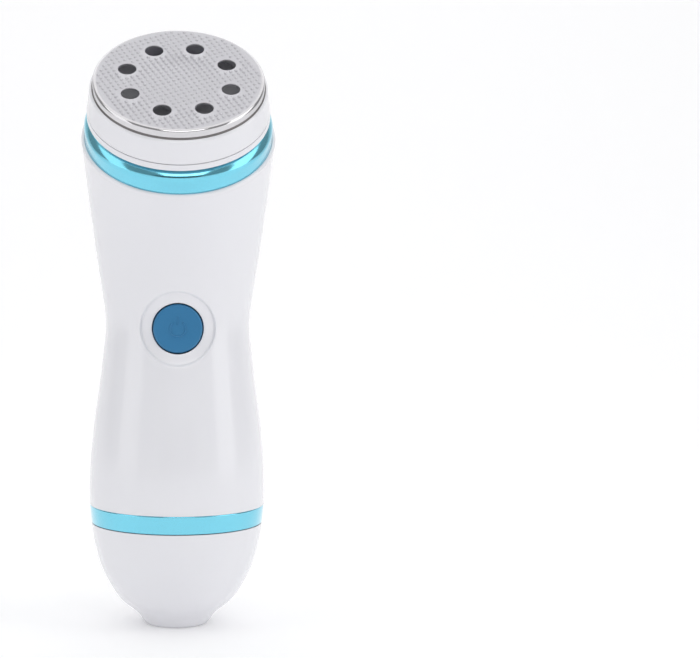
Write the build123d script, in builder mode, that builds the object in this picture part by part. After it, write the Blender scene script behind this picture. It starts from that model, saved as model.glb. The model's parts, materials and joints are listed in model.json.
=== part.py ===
"""Electric callus remover: a pear-waisted handle whose neck leans forward to a spinning
rasp head that pulls off, with a push button, a geared motor and a pull-off battery cap.

Millimetres, +Z up along the handle, origin at the centre of the flat foot.
The button faces -Y, and +X is to the right of a person who looks at the button.
Head parts are placed by u (along +X), v (across the head, to the rear and up) and
h (height along the head axis above the plane of the shell's top edge).
"""

import os
from math import acos, atan2, cos, degrees, pi, radians, sin, sqrt, tan

from build123d import *

os.makedirs("parts", exist_ok=True)

# ---------------------------------------------------------------- driving dimensions
# Handle centreline: upright to bend_start, then an arc that leans forward by head_tilt.
bend_start = 89.0
bend_radius = 55.0
head_tilt = 37.0
neck_length = bend_radius * radians(head_tilt)
seat_distance = bend_start + neck_length

# Outline of the upright part of the handle: outer radius, height.
band_top = 30.6
waist_outline = [
    (21.85, band_top),
    (21.85, 38.0),
    (21.3, 46.0),
    (20.4, 54.0),
    (19.3, 62.0),
    (18.5, 69.0),
    (17.9, 76.3),
    (18.6, 82.5),
    (19.6, bend_start),
]
neck_steps = 6
ring_seat_depth = 1.2
shell_wall = 2.0
lip_radius = 23.65

# Rings
top_ring_radius = 22.85
ring_shoulder_height = 2.6
ring_top = 5.6
ring_bore = 20.05
ring_ledge_radius = 19.2
ring_ledge_height = 2.2
band_bottom = 26.0
band_bore = 20.05
band_low_radius = 21.4

# Battery cap
cap_top = 25.85
cap_outline = [
    (9.1, 2.1),
    (13.6, 6.1),
    (16.6, 10.3),
    (18.65, 14.3),
    (20.45, 20.3),
    (21.35, cap_top),
]
foot_radius = 7.0
cap_bore = 18.75
cap_ledge = 19.9
cap_inner_radius = 17.0
plate_bottom = 10.0
plate_thickness = 0.4
rib_thickness = 1.6
stake_offset = 3.8
stake_radius = 0.8
spring_radius = 3.2
spring_wire = 0.4
spring_pitch = 1.2

# Battery holder
cell_radius = 7.25
cell_length = 50.5
cell_nub_radius = 2.75
cell_nub_height = 1.0
cell_offset = 7.4
left_cell_bottom = 12.0
right_cell_bottom = 14.5
sleeve_radius = 16.3
sleeve_bore = 15.1
holder_ceiling = 66.5
holder_top = 68.0
tab_offset = 3.0
tab_top = 70.0
neck_radius = 18.2
neck_mouth = 20.3
neck_mouth_bore = 16.0
o_ring_height = 23.5
o_ring_wire = 0.8
o_ring_radius = 17.65

# Button, switch and board
button_height = 76.2
button_radius = 6.0
button_gap = 0.3
button_face = -17.6
recess_radius = 9.25
recess_depth = 0.6
board_front = -7.9
board_back = -6.7
board_bottom = 69.0
board_top = 86.0
board_width = 20.0
switch_front = -10.9
switch_size = 6.0
switch_well_back = -9.5
plunger_radius = 1.6
plunger_front = -11.8
plunger_back = -10.4
flange_front = -13.9
flange_back = -13.0
mark_radius = 1.9
mark_line = 0.4
mark_bar = 2.0
mark_height = 0.12
board_screw_x = 8.0
board_screw_z = 82.5

# Head
deck_top = 4.2
shaft_radius = 2.5
running_clearance = 0.05
carrier_bottom = 6.2
carrier_top = 8.05
carrier_radius = 22.2
cup_bottom = 8.3
cup_floor_top = 10.6
cup_base_radius = 22.12
cup_shoulder_radius = 21.4
cup_shoulder = 14.6
cup_bore = 19.3
cup_rim_radius = 20.25
disc_top = 17.0
disc_thickness = 0.5
bezel_radius = 20.7
hole_count = 8
hole_radius = 2.2
hole_circle = 13.0
hole_phase = 27.6
lug_circle = 12.0
lug_count = 3
lug_height = 1.5
hub_top = 14.2
bush_radius = 4.0
bush_bottom = 1.2
shaft_bottom = -7.2
shaft_top = 13.0
shaft_flat = 1.9

# Gear train
gear_module = 0.5
pressure_angle = radians(25)
gear_backlash = 0.12
output_teeth = 30
idler_small_teeth = 12
idler_big_teeth = 24
pinion_teeth = 10
motor_v = -8.5
gearbox_bottom = -8.0
gearbox_floor = -6.8
gearbox_radius = 18.8
gearbox_bore = 17.3
low_gear_bottom = -5.2
low_gear_top = -2.7
high_gear_bottom = -2.2
high_gear_top = 0.8
idler_pin_radius = 1.0
screw_circle = 15.2
screw_phase = 25.0

# Motor
motor_radius = 10.2
motor_half_flat = 7.7
motor_rear = -32.0
motor_cap_rear = -35.0
motor_terminal_rear = -38.0
motor_boss_radius = 3.0
motor_screw_u = 6.0
motor_shaft_radius = 1.0
motor_shaft_rear = -12.0
terminal_u = 6.0

lead_radius = 0.6
motor_lead_height = 78.5

# ---------------------------------------------------------------- shared geometry


def centre_plane(distance):
    """Plane across the handle at a distance along its centreline."""
    angle = max(0.0, distance - bend_start) / bend_radius
    rise = min(distance, bend_start) + bend_radius * sin(angle)
    lean = -bend_radius * (1 - cos(angle))
    return Plane(origin=(0, lean, rise), x_dir=(1, 0, 0), z_dir=(0, -sin(angle), cos(angle)))


# The shell's wall ends at the ring seat, and its lip rises from there to the head plane.
head_plane = centre_plane(seat_distance).offset(ring_seat_depth)
head_axis = Axis(head_plane.origin, head_plane.z_dir)
head_section = Plane(origin=head_plane.origin, x_dir=(1, 0, 0), z_dir=-head_plane.y_dir)


def head_point(u, v, h):
    """A point of the head in the handle's own coordinates."""
    return head_plane.from_local_coords(Vector(u, v, h))


def head_cylinder_plane(u, v, h):
    """Plane across the head axis with its origin at u, v, h."""
    return Plane(origin=head_point(u, v, h), x_dir=(1, 0, 0), z_dir=head_plane.z_dir)


def upright_section(x, z):
    """Plane facing the front with its origin at x, z, for a piece turned about a vertical axis."""
    return Plane(origin=(x, 0, z), x_dir=(1, 0, 0), z_dir=(0, -1, 0))


def save(part, name):
    """Label a finished piece and write its STEP file."""
    part.label = name
    export_step(part, f"parts/{name}.step")


# Gear centres: the idler lies where its two centre distances meet.
output_centre_distance = gear_module * (output_teeth + idler_small_teeth) / 2
pinion_centre_distance = gear_module * (idler_big_teeth + pinion_teeth) / 2
idler_v = (pinion_centre_distance**2 - output_centre_distance**2 - motor_v**2) / (-2 * motor_v)
idler_u = sqrt(output_centre_distance**2 - idler_v**2)
output_to_idler = degrees(atan2(idler_v, idler_u))
idler_to_motor = degrees(atan2(motor_v - idler_v, -idler_u))


def involute(angle):
    return tan(angle) - angle


def tooth_points(teeth):
    """Outline of one involute tooth on +X, from root to tip and back."""
    pitch_radius = gear_module * teeth / 2
    base_radius = pitch_radius * cos(pressure_angle)
    root_radius = pitch_radius - 1.1 * gear_module
    tip_radius = pitch_radius + 0.8 * gear_module
    pitch_half_angle = pi / (2 * teeth) - gear_backlash / (4 * pitch_radius)
    foot = max(base_radius, root_radius)
    radii = [foot + (tip_radius - foot) * step / 4 for step in range(5)]
    flank = [(root_radius * 0.97, pitch_half_angle + involute(pressure_angle))]
    for radius in radii:
        turn = pitch_half_angle + involute(pressure_angle) - involute(acos(base_radius / radius))
        flank.append((radius, turn))
    upper = [(radius * cos(turn), radius * sin(turn)) for radius, turn in flank]
    lower = [(x, -y) for x, y in reversed(upper)]
    return upper + lower


def gear_face(teeth, phase):
    """Toothed outline, drawn into the sketch that is open, with a tooth at angle phase."""
    Circle(gear_module * teeth / 2 - 1.1 * gear_module)
    with PolarLocations(0, teeth, start_angle=phase):
        Polygon(*tooth_points(teeth), align=None)


# ---------------------------------------------------------------- handle shells
def bend_outer_radius(fraction):
    """Outer radius of the neck, from the start of the bend (0) to the ring seat (1)."""
    return waist_outline[-1][0] + 5.4 * fraction - 1.5 * fraction**2


def handle_profile(inset):
    """Outline of the upright part of the handle, moved inward by inset, as a curve."""
    points = [(radius - inset, height) for radius, height in waist_outline]
    return Spline(*points, tangents=((0.0, 1.0), (0.172, 1.0)))


def shell_half(side):
    """Front (-1) or rear (+1) half of the handle wall, with a rounded lip and a ring seat."""
    half = Align.MIN if side > 0 else Align.MAX
    with BuildPart() as wall:
        with BuildSketch(Plane.XZ):
            with BuildLine():
                outside = handle_profile(0)
                inside = handle_profile(shell_wall)
                Line(outside @ 0, inside @ 0)
                Line(outside @ 1, inside @ 1)
            make_face()
        revolve(axis=Axis.Z, revolution_arc=180 * side)
        for step in range(neck_steps + 1):
            radius = bend_outer_radius(step / neck_steps)
            with BuildSketch(centre_plane(bend_start + neck_length * step / neck_steps)):
                Circle(radius)
                Circle(radius - shell_wall, mode=Mode.SUBTRACT)
                Rectangle(3 * radius, 2 * radius, align=(Align.CENTER, half), mode=Mode.INTERSECT)
        loft()
        with BuildSketch(head_section):
            with BuildLine():
                rounding = ThreePointArc(
                    (lip_radius, -0.6),
                    (lip_radius - 0.17, -0.17),
                    (lip_radius - 0.55, 0),
                )
                Polyline(
                    rounding @ 1,
                    (top_ring_radius, 0),
                    (top_ring_radius, -ring_seat_depth),
                    (bend_outer_radius(1), -ring_seat_depth),
                    rounding @ 0,
                )
            make_face()
        revolve(axis=head_axis, revolution_arc=180 * side)
    return wall.part


with BuildPart() as recess_floor:
    with BuildSketch(Plane.XZ):
        with BuildLine():
            floor_curve = handle_profile(recess_depth)
            Polyline(floor_curve @ 1, (0, bend_start), (0, band_top), floor_curve @ 0)
        make_face()
    revolve(axis=Axis.Z)

with BuildPart() as button_recess:
    with BuildSketch(Plane.XZ.offset(12)):
        with Locations((0, button_height)):
            Circle(recess_radius)
    extrude(amount=15)
    add(recess_floor.part, mode=Mode.SUBTRACT)

with BuildPart() as front_shell:
    add(shell_half(-1))
    add(button_recess.part, mode=Mode.SUBTRACT)
    with BuildSketch(Plane.XZ):
        with Locations((0, button_height)):
            Circle(button_radius + button_gap)
    extrude(amount=30, mode=Mode.SUBTRACT)

with BuildPart() as rear_shell:
    add(shell_half(1))

# ---------------------------------------------------------------- rings
with BuildPart() as top_ring:
    with BuildSketch(head_section):
        with BuildLine():
            shoulder = ThreePointArc(
                (top_ring_radius, ring_shoulder_height),
                (top_ring_radius - 0.62, ring_top - 0.88),
                (top_ring_radius - 2.2, ring_top),
            )
            Polyline(
                shoulder @ 1,
                (ring_bore, ring_top),
                (ring_bore, ring_ledge_height),
                (ring_ledge_radius, ring_ledge_height),
                (ring_ledge_radius, -3.0),
                (21.25, -3.0),
                (21.25, -ring_seat_depth),
                (top_ring_radius, -ring_seat_depth),
                shoulder @ 0,
            )
        make_face()
    revolve(axis=head_axis)

with BuildPart() as lower_band:
    with BuildSketch(Plane.XZ):
        with BuildLine():
            Polyline(
                (band_bore, band_bottom),
                (band_low_radius, band_bottom),
                (waist_outline[0][0], band_top),
                (band_bore, band_top),
                close=True,
            )
        make_face()
    revolve(axis=Axis.Z)
    fillet(lower_band.edges().filter_by(GeomType.CIRCLE).sort_by(SortBy.RADIUS)[-2:], 0.25)

# ---------------------------------------------------------------- battery cap
with BuildPart() as cap_hollow:
    with BuildSketch(Plane.XZ):
        with BuildLine():
            dome = Spline(
                (0, 2.2),
                (10.0, 6.0),
                (14.2, 10.2),
                (cap_inner_radius, 17.0),
                tangents=((1, 0), (0.1, 1)),
            )
            Polyline(
                dome @ 1,
                (cap_inner_radius, cap_ledge),
                (cap_bore, cap_ledge),
                (cap_bore, cap_top),
                (0, cap_top),
                dome @ 0,
            )
        make_face()
    revolve(axis=Axis.Z)
    with BuildSketch(Plane.XY):
        with Locations((0, stake_offset), (0, -stake_offset)):
            Rectangle(2 * cap_bore, rib_thickness)
        Rectangle(rib_thickness, 2 * stake_offset)
    extrude(amount=plate_bottom, mode=Mode.SUBTRACT)

with BuildPart() as battery_cap:
    with BuildSketch(Plane.XZ):
        with BuildLine():
            side = Spline((foot_radius, 0), *cap_outline, tangents=((1.6, 0.35), (0.08, 1)))
            Polyline(side @ 1, (0, cap_top), (0, 0), side @ 0)
        make_face()
    revolve(axis=Axis.Z)
    add(cap_hollow.part, mode=Mode.SUBTRACT)
    with BuildSketch(Plane.XY.offset(plate_bottom)):
        with Locations((0, stake_offset), (0, -stake_offset)):
            Circle(stake_radius)
    extrude(amount=plate_thickness)
    with BuildSketch(Plane.XY.offset(plate_bottom + plate_thickness)):
        with Locations((0, stake_offset), (0, -stake_offset)):
            Circle(1.4)
    extrude(amount=0.7)

with BuildPart() as cap_contact_plate:
    with BuildSketch(Plane.XY.offset(plate_bottom)) as plate_outline:
        Rectangle(25.4, 12)
        chamfer(plate_outline.vertices(), 2.6)
        with Locations((0, stake_offset), (0, -stake_offset)):
            Circle(stake_radius, mode=Mode.SUBTRACT)
    extrude(amount=plate_thickness)
    with BuildSketch(upright_section(-cell_offset, plate_bottom)):
        with BuildLine():
            dimple = ThreePointArc((0, 1.8), (1.9, 1.35), (3.2, 0.2))
            Polyline(dimple @ 1, (0, 0.2), dimple @ 0)
        make_face()
    revolve(axis=Axis((-cell_offset, 0, 0), (0, 0, 1)))

with BuildPart() as cap_contact_spring:
    with BuildLine():
        cap_coil = Helix(
            spring_pitch,
            2.8,
            spring_radius,
            center=(cell_offset, 0, plate_bottom + plate_thickness + spring_wire),
        )
    with BuildSketch(Plane(origin=cap_coil @ 0, z_dir=cap_coil % 0)):
        Circle(spring_wire)
    sweep(is_frenet=True)

# ---------------------------------------------------------------- battery holder
with BuildPart() as battery_holder:
    with BuildSketch(Plane.XZ):
        with BuildLine():
            Polyline(
                (neck_mouth_bore, neck_mouth),
                (neck_radius, neck_mouth),
                (neck_radius, o_ring_height - 1.0),
                (o_ring_radius - o_ring_wire, o_ring_height - 1.0),
                (o_ring_radius - o_ring_wire, o_ring_height + 1.0),
                (neck_radius, o_ring_height + 1.0),
                (neck_radius, band_bottom),
                (band_bore, band_bottom),
                (band_bore, band_top),
                (19.8, band_top),
                (19.8, band_top + 2.0),
                (sleeve_radius, band_top + 2.0),
                (sleeve_radius, holder_top),
                (0, holder_top),
                (0, holder_ceiling),
                (sleeve_bore, holder_ceiling),
                (sleeve_bore, band_bottom + 0.5),
                (neck_mouth_bore, band_bottom - 1.0),
                close=True,
            )
        make_face()
    revolve(axis=Axis.Z)
    # Flat tongue at the rear of the mouth and a shorter hook block at its front.
    with BuildSketch(Plane.XY.offset(15.5)):
        with Locations((0, 15.35)):
            Rectangle(8.0, 1.5)
    extrude(amount=8.5)
    with BuildSketch(Plane.XY.offset(17.6)):
        with Locations((0, -14.9)):
            Rectangle(6.0, 2.4)
    extrude(amount=6.4)
    # Slots for the contacts' solder tabs.
    with BuildSketch(Plane.XY.offset(holder_ceiling)):
        with Locations((cell_offset, tab_offset), (-cell_offset, tab_offset)):
            Rectangle(3.4, 0.8)
    extrude(amount=holder_top - holder_ceiling, mode=Mode.SUBTRACT)
    # Notch that clears the button's flange.
    with BuildSketch(Plane.XY.offset(holder_top)):
        with Locations((0, -sleeve_radius)):
            Rectangle(20.0, 8.8)
    extrude(amount=-1.1, mode=Mode.SUBTRACT)
    # Two posts that carry the circuit board.
    with BuildSketch(Plane.XY.offset(holder_top)):
        with Locations((board_screw_x, board_back + 1.25), (-board_screw_x, board_back + 1.25)):
            Rectangle(3.0, 2.5)
    extrude(amount=board_screw_z + 2 - holder_top)
    with BuildSketch(Plane.XZ.offset(-board_back)):
        with Locations((board_screw_x, board_screw_z), (-board_screw_x, board_screw_z)):
            Circle(0.8)
    extrude(amount=-2.0, mode=Mode.SUBTRACT)

with BuildPart() as neck_o_ring:
    with BuildSketch(Plane.XZ):
        with Locations((o_ring_radius, o_ring_height)):
            Circle(o_ring_wire)
    revolve(axis=Axis.Z)

with BuildPart() as positive_contact:
    with BuildSketch(Plane.XY.offset(holder_ceiling - plate_thickness)):
        with Locations((cell_offset, 0)):
            Rectangle(9, 9)
    extrude(amount=plate_thickness)
    with BuildSketch(upright_section(cell_offset, holder_ceiling - plate_thickness)):
        with BuildLine():
            bump = ThreePointArc((0, -0.8), (1.4, -0.55), (2.4, 0.1))
            Polyline(bump @ 1, (0, 0.1), bump @ 0)
        make_face()
    revolve(axis=Axis((cell_offset, 0, 0), (0, 0, 1)))
    with BuildSketch(Plane.XY.offset(holder_ceiling - plate_thickness)):
        with Locations((cell_offset, tab_offset)):
            Rectangle(3.0, 0.4)
    extrude(amount=tab_top - holder_ceiling + plate_thickness)

with BuildPart() as negative_contact:
    with BuildSketch(Plane.XY.offset(holder_ceiling - plate_thickness)):
        with Locations((-cell_offset, 0)):
            Rectangle(9, 9)
    extrude(amount=plate_thickness)
    with BuildSketch(Plane.XY.offset(holder_ceiling - plate_thickness)):
        with Locations((-cell_offset, tab_offset)):
            Rectangle(3.0, 0.4)
    extrude(amount=tab_top - holder_ceiling + plate_thickness)

with BuildPart() as negative_contact_spring:
    with BuildLine():
        holder_coil = Helix(
            spring_pitch,
            2.4,
            spring_radius,
            center=(-cell_offset, 0, holder_ceiling - plate_thickness - spring_wire),
            direction=(0, 0, -1),
        )
    with BuildSketch(Plane(origin=holder_coil @ 0, z_dir=holder_coil % 0)):
        Circle(spring_wire)
    sweep(is_frenet=True)

# Round cells, one with its nub down and the other with its nub up.
cell_body_length = cell_length - cell_nub_height
for name, x, bottom, body_bottom, nub_bottom in (
    ("cell_left", -cell_offset, left_cell_bottom, cell_nub_height, 0),
    ("cell_right", cell_offset, right_cell_bottom, 0, cell_body_length),
):
    with BuildPart() as cell:
        with BuildSketch(Plane.XY.offset(bottom + body_bottom)):
            with Locations((x, 0)):
                Circle(cell_radius)
        extrude(amount=cell_body_length)
        fillet(cell.edges().filter_by(GeomType.CIRCLE), 0.5)
        with BuildSketch(Plane.XY.offset(bottom + nub_bottom)):
            with Locations((x, 0)):
                Circle(cell_nub_radius)
        extrude(amount=cell_nub_height)
    save(cell.part, name)

# ---------------------------------------------------------------- button, switch and board
with BuildPart() as power_button:
    with BuildSketch(Plane.XZ.offset(-flange_front)):
        with Locations((0, button_height)):
            Circle(button_radius)
    extrude(amount=flange_front - button_face)
    fillet(power_button.faces().sort_by(Axis.Y)[0].edges(), 0.5)
    with BuildSketch(Plane.XZ.offset(-flange_back)):
        with Locations((0, button_height)):
            Circle(7.3)
    extrude(amount=flange_back - flange_front)
    with BuildSketch(Plane.XZ.offset(-plunger_front)):
        with Locations((0, button_height)):
            Circle(1.5)
    extrude(amount=plunger_front - flange_back)
    # Raised power mark: an open ring with a bar through its gap.
    with BuildSketch(Plane.XZ.offset(-button_face)):
        with Locations((0, button_height)):
            Circle(mark_radius)
            Circle(mark_radius - mark_line, mode=Mode.SUBTRACT)
        with Locations((0, button_height + mark_radius)):
            Rectangle(3.6 * mark_line, 3 * mark_line, mode=Mode.SUBTRACT)
            Rectangle(mark_line, mark_bar)
    extrude(amount=mark_height)

with BuildPart() as switch_plunger:
    with BuildSketch(Plane.XZ.offset(-plunger_back)):
        with Locations((0, button_height)):
            Circle(plunger_radius)
    extrude(amount=plunger_back - plunger_front)

with BuildPart() as switch_body:
    with BuildSketch(Plane.XZ.offset(-board_front)):
        with Locations((0, button_height)):
            Rectangle(switch_size, switch_size)
    extrude(amount=board_front - switch_front)
    with BuildSketch(Plane.XZ.offset(-switch_well_back)):
        with Locations((0, button_height)):
            Circle(plunger_radius + 0.1)
    extrude(amount=switch_well_back - switch_front, mode=Mode.SUBTRACT)

with BuildPart() as circuit_board:
    with BuildSketch(Plane.XZ.offset(-board_back)):
        with Locations((0, (board_top + board_bottom) / 2)):
            Rectangle(board_width, board_top - board_bottom)
        with Locations((board_screw_x, board_screw_z), (-board_screw_x, board_screw_z)):
            Circle(0.9, mode=Mode.SUBTRACT)
    extrude(amount=board_back - board_front)

with BuildPart() as controller_chip:
    with BuildSketch(Plane.XZ.offset(-board_front)):
        with Locations((0, board_screw_z - 1)):
            Rectangle(5, 4)
    extrude(amount=1.2)

with BuildPart() as board_screws:
    with BuildSketch(Plane.XZ.offset(-board_back - 1.9)):
        with Locations((board_screw_x, board_screw_z), (-board_screw_x, board_screw_z)):
            Circle(0.8)
    extrude(amount=board_back - board_front + 1.9)
    with BuildSketch(Plane.XZ.offset(-board_front)):
        with Locations((board_screw_x, board_screw_z), (-board_screw_x, board_screw_z)):
            Circle(1.5)
    extrude(amount=1.0)

# ---------------------------------------------------------------- motor
with BuildPart() as motor_can:
    with BuildSketch(head_cylinder_plane(0, motor_v, motor_rear)):
        Circle(motor_radius)
        Rectangle(3 * motor_radius, 2 * motor_half_flat, mode=Mode.INTERSECT)
    extrude(amount=gearbox_bottom - motor_rear)
    with BuildSketch(head_cylinder_plane(0, motor_v, gearbox_bottom)):
        Circle(motor_boss_radius)
    extrude(amount=gearbox_floor - gearbox_bottom - 0.1)
    with BuildSketch(head_cylinder_plane(0, motor_v, motor_shaft_rear - 0.4)):
        Circle(motor_shaft_radius + running_clearance)
    extrude(amount=gearbox_floor - motor_shaft_rear + 1, mode=Mode.SUBTRACT)
    with BuildSketch(head_cylinder_plane(0, motor_v, gearbox_bottom - 2)):
        with Locations((motor_screw_u, 0), (-motor_screw_u, 0)):
            Circle(0.9)
    extrude(amount=2, mode=Mode.SUBTRACT)

with BuildPart() as motor_end_cap:
    with BuildSketch(head_cylinder_plane(0, motor_v, motor_cap_rear)):
        Circle(motor_radius - 0.4)
        Rectangle(3 * motor_radius, 2 * motor_half_flat - 0.8, mode=Mode.INTERSECT)
    extrude(amount=motor_rear - motor_cap_rear)

with BuildPart() as motor_terminals:
    with BuildSketch(head_cylinder_plane(0, motor_v, motor_terminal_rear)):
        with Locations((terminal_u, 0), (-terminal_u, 0)):
            Rectangle(2.4, 0.5)
    extrude(amount=motor_cap_rear - motor_terminal_rear)

with BuildPart() as motor_shaft:
    with BuildSketch(head_cylinder_plane(0, motor_v, motor_shaft_rear)):
        Circle(motor_shaft_radius)
    extrude(amount=low_gear_top - motor_shaft_rear)

with BuildPart() as motor_pinion:
    with BuildSketch(head_cylinder_plane(0, motor_v, low_gear_bottom - 0.6)):
        gear_face(pinion_teeth, idler_to_motor + 180)
        Circle(motor_shaft_radius, mode=Mode.SUBTRACT)
    extrude(amount=low_gear_top - low_gear_bottom + 0.6)

# ---------------------------------------------------------------- gearbox
with BuildPart() as gearbox_housing:
    with BuildSketch(head_plane.offset(gearbox_bottom)):
        Circle(gearbox_radius)
    extrude(amount=ring_ledge_height - gearbox_bottom)
    with BuildSketch(head_plane.offset(gearbox_floor)):
        Circle(gearbox_bore)
    extrude(amount=ring_ledge_height - gearbox_floor, mode=Mode.SUBTRACT)
    with BuildSketch(head_plane.offset(gearbox_floor)):
        with PolarLocations(screw_circle, 3, start_angle=screw_phase):
            Circle(2.4)
    extrude(amount=ring_ledge_height - gearbox_floor)
    with BuildSketch(head_plane.offset(gearbox_floor)):
        Circle(4.2)
        with Locations((idler_u, idler_v)):
            Circle(1.55)
    extrude(amount=1.2)
    with BuildSketch(head_plane.offset(shaft_bottom - 0.2)):
        Circle(shaft_radius + running_clearance)
    extrude(amount=4, mode=Mode.SUBTRACT)
    with BuildSketch(head_plane.offset(gearbox_floor - 0.4)):
        with Locations((idler_u, idler_v)):
            Circle(idler_pin_radius)
    extrude(amount=4, mode=Mode.SUBTRACT)
    with BuildSketch(head_plane.offset(gearbox_bottom)):
        with Locations((0, motor_v)):
            Circle(motor_boss_radius)
        with Locations((motor_screw_u, motor_v), (-motor_screw_u, motor_v)):
            Circle(0.9)
    extrude(amount=gearbox_floor - gearbox_bottom, mode=Mode.SUBTRACT)
    with BuildSketch(head_plane.offset(ring_ledge_height)):
        with PolarLocations(screw_circle, 3, start_angle=screw_phase):
            Circle(1.1)
    extrude(amount=-6, mode=Mode.SUBTRACT)

with BuildPart() as motor_screws:
    with BuildSketch(head_plane.offset(gearbox_bottom - 1.9)):
        with Locations((motor_screw_u, motor_v), (-motor_screw_u, motor_v)):
            Circle(0.9)
    extrude(amount=gearbox_floor - gearbox_bottom + 1.9)
    with BuildSketch(head_plane.offset(gearbox_floor)):
        with Locations((motor_screw_u, motor_v), (-motor_screw_u, motor_v)):
            Circle(1.4)
    extrude(amount=0.8)

with BuildPart() as idler_pin:
    with BuildSketch(head_plane.offset(gearbox_floor - 0.4)):
        with Locations((idler_u, idler_v)):
            Circle(idler_pin_radius)
    extrude(amount=ring_ledge_height - 0.2 - gearbox_floor + 0.4)

with BuildPart() as idler_gear:
    with BuildSketch(head_cylinder_plane(idler_u, idler_v, low_gear_bottom)):
        gear_face(idler_big_teeth, idler_to_motor + 180 / idler_big_teeth)
    extrude(amount=low_gear_top - 0.1 - low_gear_bottom)
    with BuildSketch(head_cylinder_plane(idler_u, idler_v, low_gear_top - 0.1)):
        gear_face(idler_small_teeth, output_to_idler + 180)
    extrude(amount=high_gear_top + 0.1 - low_gear_top)
    with BuildSketch(head_cylinder_plane(idler_u, idler_v, low_gear_bottom)):
        Circle(idler_pin_radius + running_clearance)
    extrude(amount=high_gear_top - low_gear_bottom, mode=Mode.SUBTRACT)

with BuildPart() as output_gear:
    with BuildSketch(head_plane.offset(high_gear_bottom)):
        gear_face(output_teeth, output_to_idler + 180 / output_teeth)
    extrude(amount=high_gear_top - high_gear_bottom)
    with BuildSketch(head_plane.offset(low_gear_bottom)):
        Circle(3.5)
    extrude(amount=high_gear_bottom - low_gear_bottom)
    with BuildSketch(head_plane.offset(low_gear_bottom)):
        Circle(shaft_radius)
    extrude(amount=high_gear_top - low_gear_bottom, mode=Mode.SUBTRACT)

with BuildPart() as deck_plate:
    with BuildSketch(head_section):
        with BuildLine():
            Polyline(
                (bush_radius, ring_ledge_height),
                (ring_bore, ring_ledge_height),
                (ring_bore, deck_top),
                (6.0, deck_top),
                (5.2, deck_top + 1.2),
                (bush_radius, deck_top + 1.2),
                close=True,
            )
        make_face()
    revolve(axis=head_axis)
    with BuildSketch(head_plane.offset(ring_ledge_height)):
        with PolarLocations(screw_circle, 3, start_angle=screw_phase):
            Circle(1.1)
    extrude(amount=deck_top - ring_ledge_height, mode=Mode.SUBTRACT)

with BuildPart() as deck_screws:
    with BuildSketch(head_plane.offset(ring_ledge_height - 5.5)):
        with PolarLocations(screw_circle, 3, start_angle=screw_phase):
            Circle(1.1)
    extrude(amount=deck_top - ring_ledge_height + 5.5)
    with BuildSketch(head_plane.offset(deck_top)):
        with PolarLocations(screw_circle, 3, start_angle=screw_phase):
            Circle(1.9)
    extrude(amount=1.1)

with BuildPart() as shaft_bush:
    with BuildSketch(head_section):
        with BuildLine():
            Polyline(
                (shaft_radius + running_clearance, bush_bottom),
                (bush_radius, bush_bottom),
                (bush_radius, deck_top + 1.2),
                (shaft_radius + running_clearance, deck_top + 1.2),
                close=True,
            )
        make_face()
    revolve(axis=head_axis)

# ---------------------------------------------------------------- spinning head
with BuildPart() as drive_shaft:
    with BuildSketch(head_plane.offset(shaft_bottom)):
        Circle(shaft_radius)
    extrude(amount=carrier_top - shaft_bottom)
    with BuildSketch(head_plane.offset(carrier_top)):
        Circle(shaft_radius)
        Rectangle(2 * shaft_flat, 3 * shaft_radius, mode=Mode.INTERSECT)
    extrude(amount=shaft_top - carrier_top)

with BuildPart() as carrier:
    with BuildSketch(head_section):
        with BuildLine():
            Polyline(
                (shaft_radius, 5.8),
                (5.0, 5.8),
                (5.6, 6.8),
                (20.3, 6.8),
                (20.3, carrier_bottom),
                (carrier_radius - 0.3, carrier_bottom),
                (carrier_radius, carrier_bottom + 0.3),
                (carrier_radius - 0.05, carrier_top),
                (shaft_radius, carrier_top),
                close=True,
            )
        make_face()
    revolve(axis=head_axis)
    with BuildSketch(head_plane.offset(carrier_top)):
        with PolarLocations(lug_circle, lug_count):
            Rectangle(2.0, 3.0)
    extrude(amount=lug_height)

with BuildPart() as head_cup:
    with BuildSketch(head_section):
        with BuildLine():
            wall = ThreePointArc(
                (cup_base_radius, cup_bottom),
                (21.68, 11.5),
                (cup_shoulder_radius, cup_shoulder - 0.4),
            )
            Polyline(
                wall @ 1,
                (cup_shoulder_radius - 0.4, cup_shoulder),
                (cup_rim_radius, cup_shoulder),
                (cup_rim_radius, disc_top - disc_thickness),
                (cup_bore, disc_top - disc_thickness),
                (cup_bore, cup_floor_top),
                (5.0, cup_floor_top),
                (4.6, hub_top),
                (0, hub_top),
                (0, cup_bottom),
                wall @ 0,
            )
        make_face()
    revolve(axis=head_axis)
    with BuildSketch(head_plane.offset(cup_bottom)):
        Circle(shaft_radius + 2 * running_clearance)
        Rectangle(2 * shaft_flat + 0.2, 3 * shaft_radius, mode=Mode.INTERSECT)
    extrude(amount=shaft_top + 0.4 - cup_bottom, mode=Mode.SUBTRACT)
    with BuildSketch(head_plane.offset(cup_bottom)):
        with PolarLocations(lug_circle, lug_count):
            Rectangle(2.4, 3.4)
    extrude(amount=carrier_top + lug_height + 0.2 - cup_bottom, mode=Mode.SUBTRACT)

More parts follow.
